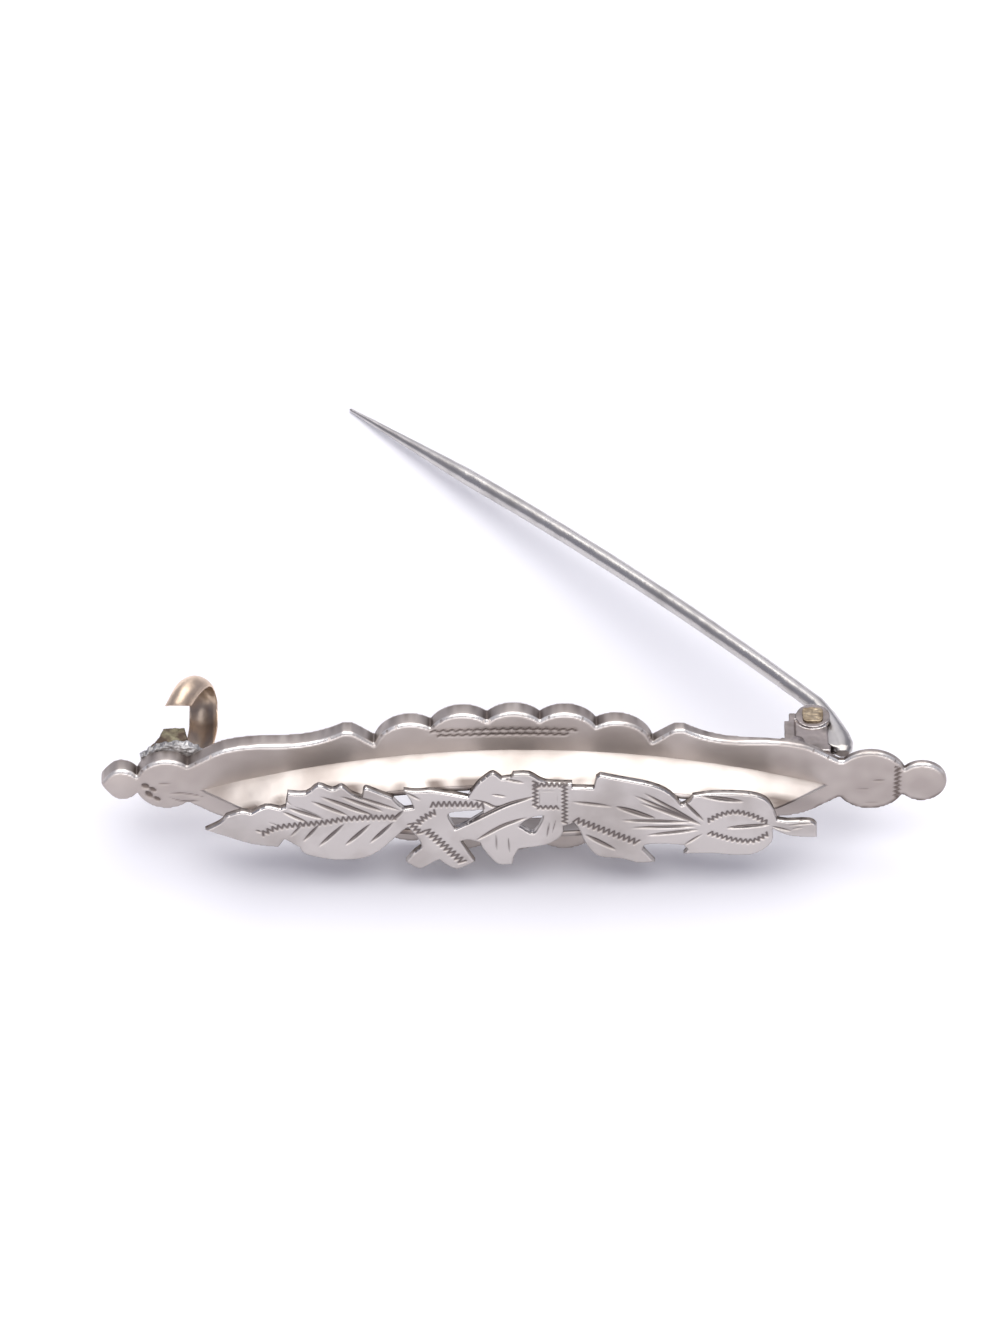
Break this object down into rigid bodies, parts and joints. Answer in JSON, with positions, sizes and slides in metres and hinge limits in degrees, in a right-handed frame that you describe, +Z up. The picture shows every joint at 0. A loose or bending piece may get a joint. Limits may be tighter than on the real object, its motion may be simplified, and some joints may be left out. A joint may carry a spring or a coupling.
{
  "type": "bar brooch",
  "caption": "Silver bar brooch with scalloped edges, a raised open ring, a pierced and engraved leaf overlay, a hinged pin and an open C catch.",
  "frame": {"origin": "centre of the overall box's floor, on the table the brooch stands on", "axes": "+X along the bar towards the hinge end, +Y from the engraved front towards the open pin's point, +Z up"},
  "size_m": [0.05, 0.0362, 0.0108],
  "materials": {
    "frame": "sheet silver, soft polish, light tarnish",
    "leaf_spray": "pierced silver, bright-cut engraving",
    "catch_plate": "dull grey lead solder, jagged edge",
    "catch_hook": "rose-gold coloured brass, worn",
    "hinge": "silver, worn",
    "hinge_rivet": "hammered brass",
    "pin": "drawn steel wire, polished"
  },
  "bodies": {
    "brooch": {"frame": "frame", "leaf_spray": "leaf_spray", "catch_plate": "catch_plate", "catch_hook": "catch_hook", "hinge": "hinge", "hinge_rivet": "hinge_rivet"},
    "pin": {"pin": "pin"}
  },
  "joints": [
    {"name": "pin_hinge", "type": "hinge", "parent": "brooch", "child": "pin", "pos_m": [0.01714, -0.01101, 0.00596], "axis": [0, 0.1981, 0.9802], "range_deg": [0, 41]}
  ]
}
